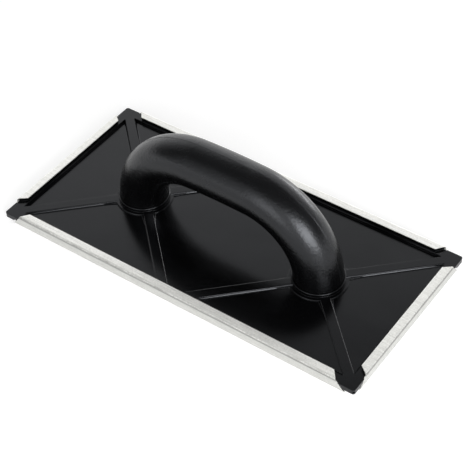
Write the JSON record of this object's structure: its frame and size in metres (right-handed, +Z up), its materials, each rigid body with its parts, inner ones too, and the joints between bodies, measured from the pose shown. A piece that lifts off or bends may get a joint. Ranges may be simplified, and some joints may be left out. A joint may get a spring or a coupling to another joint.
{
  "type": "sanding block",
  "caption": "Hand sanding block for foam and plaster: a folded, punched steel rasp pan on a ribbed black plastic back plate with a closed tubular bow handle.",
  "frame": {"origin": "under the middle of the block, in the plane of the rasp's tips", "axes": "+X along the block, +Z up from the rasp to the grip"},
  "size_m": [0.27, 0.13, 0.0729],
  "materials": {
    "pan_steel": "galvanised, satin",
    "plate_plastic": "satin",
    "handle_plastic": "satin",
    "screw_steel": "zinc plated"
  },
  "bodies": {
    "root": {"rasp_pan": "pan_steel", "back_plate": "plate_plastic", "handle_front_half": "handle_plastic", "handle_rear_half": "handle_plastic", "handle_screws": "screw_steel"}
  },
  "joints": []
}
